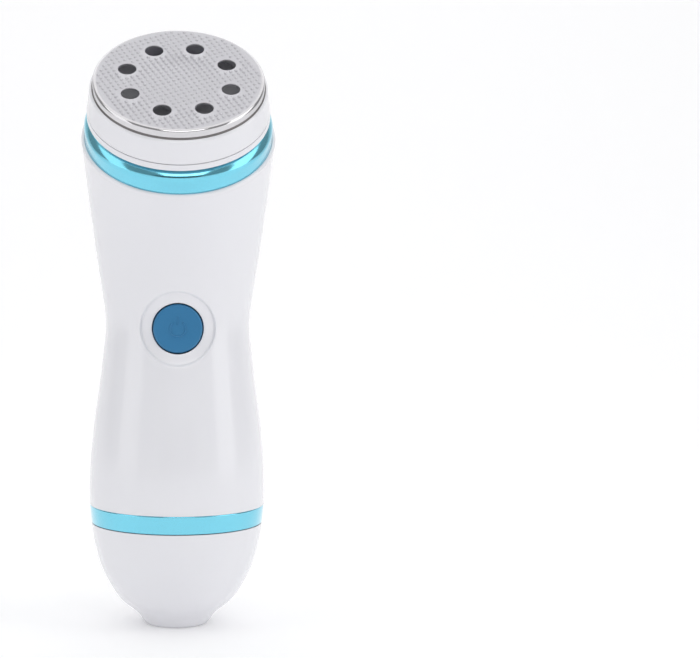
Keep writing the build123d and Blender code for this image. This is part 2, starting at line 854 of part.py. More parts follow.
with BuildPart() as rasp_disc:
    with BuildSketch(head_section):
        with BuildLine():
            rolled_edge = ThreePointArc(
                (bezel_radius, disc_top - 0.8),
                (bezel_radius - 0.25, disc_top - 0.22),
                (bezel_radius - 0.85, disc_top),
            )
            Polyline(
                rolled_edge @ 1,
                (0, disc_top),
                (0, disc_top - disc_thickness),
                (cup_rim_radius, disc_top - disc_thickness),
                (cup_rim_radius, cup_shoulder),
                (bezel_radius + 0.2, cup_shoulder),
                (bezel_radius + 0.2, cup_shoulder + 0.3),
                (bezel_radius, cup_shoulder + 0.5),
                rolled_edge @ 0,
            )
        make_face()
    revolve(axis=head_axis)
    with BuildSketch(head_plane.offset(disc_top - disc_thickness)):
        with PolarLocations(hole_circle, hole_count, start_angle=hole_phase):
            Circle(hole_radius)
    extrude(amount=disc_thickness, mode=Mode.SUBTRACT)

# ---------------------------------------------------------------- leads


def lead_between(*points):
    """Wire along straight runs joined by arcs, each as large as its two runs allow."""
    corners = [Vector(*point) for point in points]
    radii = []
    for before, corner, after in zip(corners, corners[1:], corners[2:]):
        into, out = corner - before, after - corner
        half_turn = radians(into.get_angle(out)) / 2
        radii.append(0.45 * min(into.length, out.length) / tan(half_turn))
    with BuildPart() as lead:
        with BuildLine():
            route = FilletPolyline(*corners, radius=radii)
        with BuildSketch(Plane(origin=route @ 0, z_dir=route % 0)):
            Circle(lead_radius)
        sweep()
    return lead.part


for side, name in ((1, "positive_battery_lead"), (-1, "negative_battery_lead")):
    start = (side * cell_offset, tab_offset, tab_top)
    above = (side * cell_offset, tab_offset, tab_top + 4)
    level = (side * 5.2, board_back + 3.5, tab_top + 4)
    save(lead_between(start, above, level, (side * 5.2, board_back, tab_top + 4)), name)

for side, name in ((1, "positive_motor_lead"), (-1, "negative_motor_lead")):
    terminal = head_point(side * terminal_u, motor_v, motor_terminal_rear)
    behind = head_point(side * terminal_u, motor_v, motor_terminal_rear - 3.5)
    board_end = Vector(side * 4.6, board_back, motor_lead_height)
    off_board = Vector(side * 4.6, board_back + 4, motor_lead_height)
    save(lead_between(board_end, off_board, behind, terminal), name)

# ---------------------------------------------------------------- finished pieces
for part, name in (
    (front_shell, "front_shell"),
    (rear_shell, "rear_shell"),
    (top_ring, "top_ring"),
    (lower_band, "lower_band"),
    (battery_cap, "battery_cap"),
    (cap_contact_plate, "cap_contact_plate"),
    (cap_contact_spring, "cap_contact_spring"),
    (battery_holder, "battery_holder"),
    (neck_o_ring, "neck_o_ring"),
    (positive_contact, "positive_contact"),
    (negative_contact, "negative_contact"),
    (negative_contact_spring, "negative_contact_spring"),
    (power_button, "power_button"),
    (switch_plunger, "switch_plunger"),
    (switch_body, "switch_body"),
    (circuit_board, "circuit_board"),
    (controller_chip, "controller_chip"),
    (board_screws, "board_screws"),
    (motor_can, "motor_can"),
    (motor_end_cap, "motor_end_cap"),
    (motor_terminals, "motor_terminals"),
    (motor_shaft, "motor_shaft"),
    (motor_pinion, "motor_pinion"),
    (gearbox_housing, "gearbox_housing"),
    (motor_screws, "motor_screws"),
    (idler_pin, "idler_pin"),
    (idler_gear, "idler_gear"),
    (output_gear, "output_gear"),
    (deck_plate, "deck_plate"),
    (deck_screws, "deck_screws"),
    (shaft_bush, "shaft_bush"),
    (drive_shaft, "drive_shaft"),
    (carrier, "carrier"),
    (head_cup, "head_cup"),
    (rasp_disc, "rasp_disc"),
):
    save(part.part, name)
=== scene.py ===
"""Electric callus remover: the finished look of the part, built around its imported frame.

Sizes in the code are millimetres, and the meshes are made in metres. The object stands on its
foot at the origin, +Z is up the handle and -Y faces the person who looks at the button.
"""

import json
from math import atan2, cos, hypot, pi, radians, sin, sqrt, tan

import bmesh
import bpy
import numpy as np
from bpy.props import FloatProperty, FloatVectorProperty, IntProperty, PointerProperty
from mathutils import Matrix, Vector
from mathutils.geometry import delaunay_2d_cdt


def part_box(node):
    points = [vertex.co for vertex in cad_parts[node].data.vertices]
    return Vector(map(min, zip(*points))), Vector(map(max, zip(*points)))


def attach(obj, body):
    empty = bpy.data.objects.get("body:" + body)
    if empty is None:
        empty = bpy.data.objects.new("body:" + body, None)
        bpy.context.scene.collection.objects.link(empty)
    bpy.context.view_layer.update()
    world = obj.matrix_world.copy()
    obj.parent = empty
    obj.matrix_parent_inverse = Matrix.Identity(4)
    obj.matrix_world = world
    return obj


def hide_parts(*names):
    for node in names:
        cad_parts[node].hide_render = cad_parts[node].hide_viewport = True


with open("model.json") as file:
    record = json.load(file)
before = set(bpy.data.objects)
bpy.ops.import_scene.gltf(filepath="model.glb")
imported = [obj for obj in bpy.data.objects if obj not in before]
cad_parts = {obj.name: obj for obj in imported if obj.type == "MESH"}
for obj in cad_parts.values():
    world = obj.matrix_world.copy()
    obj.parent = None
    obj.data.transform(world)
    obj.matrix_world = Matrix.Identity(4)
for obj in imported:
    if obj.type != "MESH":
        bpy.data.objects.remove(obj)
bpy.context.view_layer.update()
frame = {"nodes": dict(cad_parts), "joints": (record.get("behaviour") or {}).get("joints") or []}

bl_info = {
    "name": "Callus Remover",
    "version": (1, 0, 0),
    "blender": (4, 5, 0),
    "location": "3D View > Sidebar > Callus Remover",
    "description": "Builds the visible pieces and the stage of an electric callus remover",
    "category": "Object",
}

MM = 0.001

# ------------------------------------------------------------------ the frame's own places
JOINTS = {joint["name"]: joint for joint in frame["joints"]}
HEAD_AXIS = Vector(JOINTS["head_spin"]["axis"]).normalized()
HEAD_ORIGIN = Vector(JOINTS["head_spin"]["pos_m"]) / MM
HEAD_SIDE = Vector((1, 0, 0))
HEAD_REAR = HEAD_AXIS.cross(HEAD_SIDE).normalized()
HEAD_TILT = atan2(-HEAD_AXIS.y, HEAD_AXIS.z)


def node_box(name):
    """Lowest and highest corner of a frame node, in millimetres."""
    low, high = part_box(name)
    return low / MM, high / MM


# The handle's upright part ends where the neck's arc begins, and the ring seat is the arc's end.
RING_SEAT = 1.2
SHELL_WALL = 2.0
BAND_TOP = node_box("front_shell")[0].z
SEAT_CENTRE = HEAD_ORIGIN - HEAD_AXIS * RING_SEAT
BEND_RADIUS = -SEAT_CENTRE.y / (1 - cos(HEAD_TILT))
BEND_START = SEAT_CENTRE.z - BEND_RADIUS * sin(HEAD_TILT)
NECK_LENGTH = BEND_RADIUS * HEAD_TILT
WAIST_OUTLINE = [
    (BAND_TOP, 21.85),
    (38.0, 21.85),
    (46.0, 21.3),
    (54.0, 20.4),
    (62.0, 19.3),
    (69.0, 18.5),
    (76.3, 17.9),
    (82.5, 18.6),
    (BEND_START, 19.6),
]
NECK_SLOPE = 0.172
LIP_RADIUS = node_box("front_shell")[1].x
RING_RADIUS = node_box("top_ring")[1].x
HEM_RADIUS = node_box("rasp_disc")[1].x


# ------------------------------------------------------------------ properties
class HandleSettings(bpy.types.PropertyGroup):
    shell_colour: FloatVectorProperty(
        name="Shell colour",
        description="Colour of the white moulded shells, cap and cup",
        subtype="COLOR",
        default=(0.80, 0.80, 0.835),
        min=0,
        max=1,
    )
    columns: IntProperty(
        name="Columns",
        description="Faces around half of a shell",
        default=120,
        min=24,
        max=400,
    )
    seam: FloatProperty(
        name="Seam",
        description="Rounding of the shells' parting edges, mm",
        default=0.14,
        min=0.02,
        max=0.5,
    )


class RingSettings(bpy.types.PropertyGroup):
    plate_colour: FloatVectorProperty(
        name="Plating colour",
        description="Colour of the blue plated rings",
        subtype="COLOR",
        default=(0.2, 0.64, 0.8),
        min=0,
        max=1,
    )
    segments: IntProperty(
        name="Segments",
        description="Faces around a ring",
        default=240,
        min=48,
        max=720,
    )


class ButtonSettings(bpy.types.PropertyGroup):
    button_colour: FloatVectorProperty(
        name="Button colour",
        description="Colour of the push button",
        subtype="COLOR",
        default=(0.022, 0.17, 0.355),
        min=0,
        max=1,
    )
    recess_radius: FloatProperty(
        name="Recess radius",
        description="Radius of the shallow dish around the button, mm",
        default=9.25,
        min=8,
        max=12,
    )
    recess_depth: FloatProperty(
        name="Recess depth",
        description="Depth of the shallow dish around the button, mm",
        default=0.6,
        min=0.1,
        max=1,
    )


class RaspSettings(bpy.types.PropertyGroup):
    bump_pitch: FloatProperty(
        name="Bump pitch",
        description="Spacing of the raised points, mm",
        default=1.39,
        min=0.8,
        max=4,
    )
    bump_radius: FloatProperty(
        name="Bump radius",
        description="Radius of a raised point at its foot, mm",
        default=0.45,
        min=0.1,
        max=0.6,
    )
    bump_height: FloatProperty(
        name="Bump height",
        description="Height of a raised point, mm",
        default=0.3,
        min=0.02,
        max=0.4,
    )
    steel_colour: FloatVectorProperty(
        name="Steel colour",
        description="Colour of the rasp's steel",
        subtype="COLOR",
        default=(0.56, 0.555, 0.585),
        min=0,
        max=1,
    )


class StageSettings(bpy.types.PropertyGroup):
    distance: FloatProperty(
        name="Camera distance",
        description="Distance from the camera to the middle of the object, mm",
        default=600,
        min=200,
        max=3000,
    )
    elevation: FloatProperty(
        name="Camera elevation",
        description="Angle of the camera above the horizon",
        subtype="ANGLE",
        default=radians(5.1),
    )
    roll: FloatProperty(
        name="Camera roll",
        description="Lean of the object to the right in the picture",
        subtype="ANGLE",
        default=radians(0.6),
    )
    light: FloatProperty(
        name="Light",
        description="Strength of the four softboxes",
        default=1.0,
        min=0,
        max=10,
    )
    ambient: FloatProperty(
        name="Ambient",
        description="Strength of the even light from all around",
        default=0.35,
        min=0,
        max=3,
    )


# ------------------------------------------------------------------ shader expressions
class Field:
    """A number over a surface: one node socket with arithmetic."""

    def __init__(self, look, socket):
        self.look = look
        self.socket = socket

    def math(self, operation, *others):
        return self.look.node("ShaderNodeMath", {"operation": operation}, [self, *others])

    def __add__(self, other):
        return self.math("ADD", other)

    __radd__ = __add__

    def __mul__(self, other):
        return self.math("MULTIPLY", other)

    __rmul__ = __mul__

    def __rsub__(self, other):
        return self.look.node("ShaderNodeMath", {"operation": "SUBTRACT"}, [other, self])

    def above(self, limit):
        return self.math("GREATER_THAN", limit)


class Look:
    """A material built from node calls."""

    def __init__(self, name):
        self.material = bpy.data.materials.new(name)
        self.material.use_nodes = True
        self.tree = self.material.node_tree
        self.tree.nodes.clear()
        self.output = self.tree.nodes.new("ShaderNodeOutputMaterial")

    def node(self, kind, settings, sockets, output=0):
        """One node. settings are set first, and sockets are values or links by place or name."""
        node = self.tree.nodes.new(kind)
        for name, value in settings.items():
            setattr(node, name, value)
        pairs = sockets.items() if isinstance(sockets, dict) else enumerate(sockets)
        for key, value in pairs:
            socket = node.inputs[key]
            if isinstance(value, Field):
                self.tree.links.new(value.socket, socket)
            else:
                socket.default_value = value
        return Field(self, node.outputs[output])

    def place(self, scale=1.0):
        """Object coordinates, scaled so that one unit is 1/scale metres."""
        coordinates = self.node("ShaderNodeTexCoord", {}, {}, "Object")
        return self.node(
            "ShaderNodeVectorMath", {"operation": "SCALE"}, {"Vector": coordinates, "Scale": scale}
        )

    def noise(self, scale, detail=2.0, roughness=0.5, stretch=None):
        """Noise with features of about 1/scale metres."""
        vector = self.place()
        if stretch is not None:
            vector = self.node(
                "ShaderNodeVectorMath", {"operation": "MULTIPLY"}, [vector, stretch]
            )
        return self.node(
            "ShaderNodeTexNoise",
            {},
            {"Vector": vector, "Scale": scale, "Detail": detail, "Roughness": roughness},
        )

    def spread(self, field, low, high):
        """A 0 to 1 field spread from low to high."""
        return self.node(
            "ShaderNodeMapRange", {}, {"Value": field, 3: low, 4: high}
        )

    def mix(self, factor, first, second):
        """Colour mixed from first (0) to second (1)."""
        return self.node(
            "ShaderNodeMix", {"data_type": "RGBA"}, {0: factor, 6: first, 7: second}, 2
        )

    def bump(self, height, strength, distance):
        return self.node(
            "ShaderNodeBump", {}, {"Height": height, "Strength": strength, "Distance": distance}
        )

    def surface(self, **sockets):
        """Principled shader to the output. Socket names have _ for their spaces."""
        named = {name.replace("_", " "): value for name, value in sockets.items()}
        shader = self.node("ShaderNodeBsdfPrincipled", {}, named)
        self.tree.links.new(shader.socket, self.output.inputs["Surface"])
        return self.material


def rgba(colour, shade=1.0):
    return (colour[0] * shade, colour[1] * shade, colour[2] * shade, 1.0)


def finish(name, maker, *values):
    """A finish by name, made the first time a piece asks for it."""
    return bpy.data.materials.get(name) or maker(name, *values)


# ------------------------------------------------------------------ finishes
def white_plastic(name, colour):
    """Glossy moulded white plastic with a faint flow ripple and hair-fine handling marks."""
    look = Look(name)
    ripple = look.noise(90, 1.5)
    mottle = look.noise(700, 3)
    marks = look.noise(420, 4, 0.7, (1.0, 1.0, 6.0))
    base = look.mix(look.spread(mottle, 0.3, 0.7), rgba(colour, 0.985), rgba(colour, 1.0))
    return look.surface(
        Base_Color=base,
        Roughness=look.spread(marks, 0.17, 0.27),
        Normal=look.bump(ripple + mottle * 0.05, 0.05, 0.0006),
        IOR=1.49,
        Subsurface_Weight=0.06,
        Subsurface_Radius=(0.004, 0.004, 0.0045),
        Subsurface_Scale=0.4,
        Coat_Weight=look.spread(marks, 0.25, 0.45),
        Coat_Roughness=0.06,
    )


def blue_plating(name, colour):
    """Vacuum-plated blue chrome over plastic, with fine speckle in the lacquer."""
    look = Look(name)
    speckle = look.noise(2600, 2)
    wave = look.noise(60, 1)
    scuffs = look.noise(500, 4, 0.7, (1.0, 1.0, 5.0))
    base = look.mix(look.spread(speckle, 0.2, 0.8), rgba(colour, 0.9), rgba(colour, 1.12))
    return look.surface(
        Base_Color=base,
        Metallic=1.0,
        Roughness=look.spread(scuffs, 0.1, 0.2),
        Normal=look.bump(wave + speckle * 0.03, 0.12, 0.0006),
        Coat_Weight=0.5,
        Coat_Roughness=0.05,
    )


def button_plastic(name, colour):
    """Satin blue plastic with a fine spark texture."""
    look = Look(name)
    spark = look.noise(5200, 2)
    cloud = look.noise(240, 3)
    base = look.mix(look.spread(cloud, 0.2, 0.8), rgba(colour, 0.94), rgba(colour, 1.08))
    return look.surface(
        Base_Color=base,
        Roughness=look.spread(cloud, 0.34, 0.44),
        Normal=look.bump(spark, 0.1, 0.0001),
        IOR=1.47,
    )


def rasp_steel(name, colour, low, high):
    """Blasted stainless sheet, with a fine grain in its tone and a cloudy polish."""
    look = Look(name)
    grain = look.noise(6500, 3)
    cloud = look.noise(300, 3)
    base = look.mix(look.spread(grain, 0.2, 0.8), rgba(colour, 0.9), rgba(colour, 1.1))
    return look.surface(
        Base_Color=base,
        Metallic=0.85,
        Roughness=look.spread(cloud, low, high),
        Normal=look.bump(grain, 0.12, 0.00008),
    )


def polished_bezel(name, colour):
    """Rolled edge polished by the spinning tool, with fine scratches in its tone and polish."""
    look = Look(name)
    scratch = look.noise(900, 4, 0.7)
    return look.surface(
        Base_Color=look.mix(look.spread(scratch, 0.1, 0.9), rgba(colour, 0.8), rgba(colour, 1.0)),
        Metallic=1.0,
        Roughness=look.spread(scratch, 0.06, 0.14),
        Normal=look.bump(scratch, 0.05, 0.0001),
    )


def plain_metal(name, colour, low, high, grain=1800, metallic=1.0):
    """Turned, drawn or plated metal: tone and polish vary a little over it."""
    look = Look(name)
    streak = look.noise(grain, 3, 0.6)
    tone = look.noise(grain * 0.12, 2)
    base = look.mix(look.spread(tone, 0.1, 0.9), rgba(colour, 0.85), rgba(colour, 1.08))
    return look.surface(
        Base_Color=base,
        Metallic=metallic,
        Roughness=look.spread(streak, low, high),
        Normal=look.bump(streak, 0.08, 0.0001),
    )


def plain_plastic(name, colour, low, high, texture=3000):
    """Moulded engineering plastic with a fine spark texture."""
    look = Look(name)
    spark = look.noise(texture, 2)
    cloud = look.noise(260, 3)
    base = look.mix(look.spread(cloud, 0.1, 0.9), rgba(colour, 0.9), rgba(colour, 1.06))
    return look.surface(
        Base_Color=base,
        Roughness=look.spread(cloud, low, high),
        Normal=look.bump(spark, 0.1, 0.0001),
    )


def soft_rubber(name, colour):
    look = Look(name)
    cloud = look.noise(900, 3)
    base = look.mix(look.spread(cloud, 0.1, 0.9), rgba(colour, 0.8), rgba(colour, 1.3))
    return look.surface(
        Base_Color=base,
        Roughness=look.spread(cloud, 0.5, 0.7),
        Normal=look.bump(cloud, 0.1, 0.0001),
    )


def board_laminate(name):
    """Green solder mask over glass weave, with copper tracks showing through as paler lines."""
    look = Look(name)
    place = look.place()
    tracks = look.node(
        "ShaderNodeTexBrick",
        {"offset": 0.5},
        {
            "Vector": look.node(
                "ShaderNodeVectorRotate", {"rotation_type": "X_AXIS"}, {"Vector": place, "Angle": pi / 2}
            ),
            "Color1": (0, 0, 0, 1),
            "Color2": (0, 0, 0, 1),
            "Mortar": (1, 1, 1, 1),
            "Scale": 420.0,
            "Mortar Size": 0.06,
            "Mortar Smooth": 0.1,
        },
        "Fac",
    )
    weave = look.noise(4000, 1)
    base = look.mix(tracks, (0.01, 0.13, 0.05, 1), (0.03, 0.28, 0.11, 1))
    return look.surface(
        Base_Color=base,
        Roughness=look.spread(weave, 0.28, 0.4),
        Normal=look.bump(tracks + weave * 0.2, 0.2, 0.00005),
        Coat_Weight=0.4,
    )


def cell_sleeve(name, nub_up):
    """Printed shrink sleeve: a dark body with a broad copper-coloured band at the nub's end."""
    look = Look(name)
    height = look.node("ShaderNodeSeparateXYZ", {}, [look.place()], "Z")
    band = height.above(0.049) if nub_up else 1 - height.above(0.026)
    cloud = look.noise(300, 3)
    body = look.mix(look.spread(cloud, 0.1, 0.9), (0.012, 0.012, 0.016, 1), (0.03, 0.03, 0.036, 1))
    base = look.mix(band, body, (0.62, 0.28, 0.08, 1))
    return look.surface(
        Base_Color=base,
        Metallic=0.35,
        Roughness=look.spread(cloud, 0.26, 0.36),
        Normal=look.bump(cloud, 0.05, 0.0002),
    )


# ------------------------------------------------------------------ curves and outlines
def smooth_curve(points, slopes):
    """Function of the cubic spline through (place, value) points with given end slopes."""
    places = np.array([place for place, _ in points])
    values = np.array([value for _, value in points])
    count = len(places)
    gaps = np.diff(places)
    system = np.eye(count)
    right = np.zeros(count)
    right[0], right[-1] = slopes
    for i in range(1, count - 1):
        system[i, i - 1] = 1 / gaps[i - 1]
        system[i, i] = 2 / gaps[i - 1] + 2 / gaps[i]
        system[i, i + 1] = 1 / gaps[i]
        rise = (values[i] - values[i - 1]) / gaps[i - 1] ** 2
        rise += (values[i + 1] - values[i]) / gaps[i] ** 2
        right[i] = 3 * rise
    tangents = np.linalg.solve(system, right)

    def value(place):
        i = int(np.clip(np.searchsorted(places, place) - 1, 0, count - 2))
        t = (place - places[i]) / gaps[i]
        start = values[i] * (1 + 2 * t) * (1 - t) ** 2 + gaps[i] * tangents[i] * t * (1 - t) ** 2
        end = values[i + 1] * t * t * (3 - 2 * t) + gaps[i] * tangents[i + 1] * t * t * (t - 1)
        return float(start + end)

    return value


def rounded(corners, before=None, after=None, steps=5):
    """Outline from (radius, height, rounding) corners. Without before and after it is closed."""
    outline = []
    places = [Vector(corner[:2]) for corner in corners]
    for i, (x, y, rounding) in enumerate(corners):
        if rounding == 0:
            outline.append((x, y))
            continue
        here = places[i]
        last = Vector(before) if i == 0 and before else places[i - 1]
        following = Vector(after) if i == len(corners) - 1 and after else places[(i + 1) % len(corners)]
        back, on = (last - here).normalized(), (following - here).normalized()
        half = back.angle(on) / 2
        centre = here + (back + on).normalized() * (rounding / sin(half))
        start = here + back * (rounding / tan(half)) - centre
        end = here + on * (rounding / tan(half)) - centre
        outline.extend(tuple(centre + spoke) for spoke in swing(start, end, steps))
    return outline


def swing(start, end, steps):
    """Spokes of one length swung from start to end."""
    whole = start.angle(end)
    for step in range(steps + 1):
        part = step / steps
        yield (start * sin(whole * (1 - part)) + end * sin(whole * part)) / sin(whole)


def arc_through(start, middle, end, steps):
    """Points of the arc through three points."""
    (ax, ay), (bx, by), (cx, cy) = start, middle, end
    scale = 2 * (ax * (by - cy) + bx * (cy - ay) + cx * (ay - by))
    squares = [ax * ax + ay * ay, bx * bx + by * by, cx * cx + cy * cy]
    centre = Vector((
        (squares[0] * (by - cy) + squares[1] * (cy - ay) + squares[2] * (ay - by)) / scale,
        (squares[0] * (cx - bx) + squares[1] * (ax - cx) + squares[2] * (bx - ax)) / scale,
    ))
    return [
        tuple(centre + spoke)
        for spoke in swing(Vector(start) - centre, Vector(end) - centre, steps)
    ]


# ------------------------------------------------------------------ meshes
def upright(u, v, h):
    """Point of a piece on the handle's own axis."""
    return Vector((u, v, h))


def on_head(u, v, h):
    """Point of a head piece: u to the right, v to the rear and up, h along the head's axis."""
    return HEAD_ORIGIN + HEAD_SIDE * u + HEAD_REAR * v + HEAD_AXIS * h


class Skin:
    """Collects surface patches that share their edges, and makes one closed mesh of them."""

    def __init__(self):
        self.points = []
        self.faces = []
        self.marks = []

    def grid(self, rows, closed=False, skip=None, mark=0):
        """Quads between neighbouring rows of points. skip(i, j) leaves a face out."""
        start = len(self.points)
        width = len(rows[0])
        for row in rows:
            self.points.extend(row)
        for i in range(len(rows) - 1):
            for j in range(width if closed else width - 1):
                if skip is not None and skip(i, j):
                    continue
                a = start + i * width + j
                b = start + i * width + (j + 1) % width
                self.faces.append((a, b, b + width, a + width))
                self.marks.append(mark)

    def lathe(self, outline, place=upright, segments=240, closed=True, mark=0, start=0.0):
        """Outline of (radius, height) points turned about the axis of place."""
        outline = list(outline) + ([outline[0]] if closed else [])
        rows = []
        for radius, height in outline:
            row = []
            for j in range(segments):
                turn = start + 2 * pi * j / segments
                row.append(place(radius * cos(turn), radius * sin(turn), height))
            rows.append(row)
        self.grid(rows, closed=True, mark=mark)

    def flat(self, rings, place, height, inside, mark=0):
        """Flat face at a height between closed rings, kept where inside(u, v) is true."""
        points, edges = [], []
        for ring in rings:
            first = len(points)
            points.extend(Vector(point) for point in ring)
            edges.extend((first + k, first + (k + 1) % len(ring)) for k in range(len(ring)))
        found = delaunay_2d_cdt(points, edges, [], 0, 1e-7)
        start = len(self.points)
        self.points.extend(place(point.x, point.y, height) for point in found[0])
        for face in found[2]:
            middle = sum((found[0][k] for k in face), Vector((0, 0))) / len(face)
            if inside(middle.x, middle.y):
                self.faces.append(tuple(start + k for k in face))
                self.marks.append(mark)

    def face(self, points, mark=0):
        """One flat face with any number of corners."""
        start = len(self.points)
        self.points.extend(points)
        self.faces.append(tuple(range(start, start + len(points))))
        self.marks.append(mark)

    def finish(self, name, body, slot, materials, replaces=(), crease=32, weld=0.002):
        """Weld the patches, point the normals outward, shade it smooth and let it ride."""
        mesh = bpy.data.meshes.new(name)
        mesh.from_pydata([tuple(point * MM) for point in self.points], [], self.faces)
        for material in materials:
            mesh.materials.append(material)
        mesh.polygons.foreach_set("material_index", self.marks)
        shape = bmesh.new()
        shape.from_mesh(mesh)
        bmesh.ops.remove_doubles(shape, verts=shape.verts, dist=weld * MM)
        bmesh.ops.dissolve_degenerate(shape, edges=shape.edges, dist=1e-8)
        bmesh.ops.recalc_face_normals(shape, faces=shape.faces)
        limit = radians(crease)
        for edge in shape.edges:
            edge.smooth = not edge.is_manifold or edge.calc_face_angle(0) < limit
        for face in shape.faces:
            face.smooth = True
        shape.to_mesh(mesh)
        shape.free()
        piece = bpy.data.objects.new(name, mesh)
        bpy.context.scene.collection.objects.link(piece)
        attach(piece, body)
        if replaces:
            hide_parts(*replaces)
        return piece


def dress(node, material, rounding=0.0):
    """Give a frame node its finish, and round its edges by so many millimetres."""
    item = frame["nodes"][node]
    item.data.materials.clear()
    item.data.materials.append(material)
    if rounding > 0:
        bevel = item.modifiers.new("rounded_edges", "BEVEL")
        bevel.width = rounding * MM
        bevel.segments = 3
        bevel.limit_method = "ANGLE"
        bevel.angle_limit = radians(40)
        bevel.harden_normals = True


# ------------------------------------------------------------------ handle geometry
handle_radius = smooth_curve(WAIST_OUTLINE, (0.0, NECK_SLOPE))


def neck_radius(part):
    """Outer radius of the neck from the start of its bend (0) to the ring seat (1)."""
    return WAIST_OUTLINE[-1][1] + 5.4 * part - 1.5 * part**2


def along(distance):
    """Centre, axis and outer radius of the handle at a distance along its centreline."""
    if distance <= BEND_START:
        return Vector((0, 0, distance)), Vector((0, 1, 0)), handle_radius(distance)
    turn = (distance - BEND_START) / BEND_RADIUS
    centre = Vector((0, -BEND_RADIUS * (1 - cos(turn)), BEND_START + BEND_RADIUS * sin(turn)))
    return centre, Vector((0, cos(turn), sin(turn))), neck_radius((distance - BEND_START) / NECK_LENGTH)


def wall_point(distance, angle, inset):
    """Point of the handle's wall: angle from the right (0) over the rear (90 degrees)."""
    centre, rear, radius = along(distance)
    reach = radius - inset
    return centre + Vector((reach * cos(angle), 0, 0)) + rear * (reach * sin(angle))


# ------------------------------------------------------------------ shells
BUTTON_HEIGHT = (node_box("power_button")[0].z + node_box("power_button")[1].z) / 2
HOLE_RADIUS = 6.3
BUTTON_RADIUS = 6.0
FLANGE_RADIUS = 7.3
MARK_RADIUS = 1.9
WINDOW = 13.0
WALL_ROWS = [float(d) for d in np.linspace(BAND_TOP, BEND_START, 74)]
WALL_ROWS += [float(d) for d in np.linspace(BEND_START, BEND_START + NECK_LENGTH, 36)[1:]]


def column_angles(start, count, seam):
    """Angles over half a turn, with close columns that round the parting edges."""
    turn = seam / 20.0
    edge = [(0.0, seam), (turn * 0.3, seam * 0.3), (turn, 0.0)]
    inner = [(float(a), 0.0) for a in np.linspace(turn, pi - turn, count + 1)[1:-1]]
    angles = edge + inner + [(pi - a, inset) for a, inset in reversed(edge)]
    return [(start + a, inset) for a, inset in angles]


def lip_points(angle, inset):
    """Rounded lip and ring seat above the wall, from its outside to its inside."""
    outline = [
        (LIP_RADIUS - inset, -0.6),
        (LIP_RADIUS - 0.06 - inset, -0.36),
        (LIP_RADIUS - 0.19, -0.17),
        (LIP_RADIUS - 0.35, -0.05),
        (LIP_RADIUS - 0.55, 0.0),
        (RING_RADIUS + 0.07, 0.0),
        (RING_RADIUS + 0.01, -0.05),
        (RING_RADIUS, -RING_SEAT),
        (RING_RADIUS - 1.25, -RING_SEAT),
    ]
    return [on_head(r * cos(angle), r * sin(angle), h) for r, h in outline]


def foot_points(angle, inset):
    """Lower edge of the wall, from its outside to its inside."""
    radius = handle_radius(BAND_TOP)
    outline = [(radius - 0.03 - inset, -0.0), (radius - 0.4, 0.0)]
    return [Vector((r * cos(angle), r * sin(angle), BAND_TOP + h)) for r, h in outline]


def front_point(x, z, inset):
    """Point of the wall seen at x, z from the front, set in from its outside."""
    reach = handle_radius(z) - inset
    return Vector((x, -sqrt(reach**2 - x**2), z))


def opening_rings(window, profile, inset):
    """Rings around the button: a profile of (radius, inset), then rings out to the window."""
    bearings = [atan2(point.z - BUTTON_HEIGHT, point.x) for point in window]
    rings = [
        [front_point(r * cos(b), BUTTON_HEIGHT + r * sin(b), depth) for b in bearings]
        for r, depth in profile
    ]
    edge = profile[-1][0]
    for step in range(1, 6):
        part = step / 6
        ring = []
        for point, b in zip(window, bearings):
            x = edge * cos(b) * (1 - part) + point.x * part
            z = (BUTTON_HEIGHT + edge * sin(b)) * (1 - part) + point.z * part
            ring.append(front_point(x, z, inset))
        rings.append(ring)
    return rings + [window]


def half_shell(skin, start, count, seam, opened):
    """Outer and inner wall, lip, lower edge and parting faces of one half of the handle."""
    columns = []
    for angle, inset in column_angles(start, count, seam):
        outer = [wall_point(d, angle, inset) for d in WALL_ROWS]
        inner = [wall_point(d, angle, SHELL_WALL) for d in WALL_ROWS]
        lip = [outer[-1]] + lip_points(angle, inset) + [inner[-1]]
        foot = [outer[0]] + foot_points(angle, inset) + [inner[0]]
        columns.append((outer, inner, lip, foot))
    if opened:
        wide = [i for i, column in enumerate(columns) if abs(column[0][40].x) < WINDOW]
        tall = [j for j, d in enumerate(WALL_ROWS) if abs(d - BUTTON_HEIGHT) < WINDOW]
        left, right, low, high = wide[0], wide[-1], tall[0], tall[-1]
        border = [(i, low) for i in range(left, right)] + [(right, j) for j in range(low, high)]
        border += [(i, high) for i in range(right, left, -1)]
        border += [(left, j) for j in range(high, low, -1)]
    for side in (0, 1):
        skin.grid(
            [column[side] for column in columns],
            skip=lambda i, j: opened and left <= i < right and low <= j < high,
        )
    for side in (2, 3):
        skin.grid([column[side] for column in columns])
    for outer, inner, lip, foot in (columns[0], columns[-1]):
        skin.grid([outer, inner])
        skin.face(lip)
        skin.face(foot)
    if opened:
        return [[columns[i][side][j] for i, j in border] for side in (0, 1)]
    return None


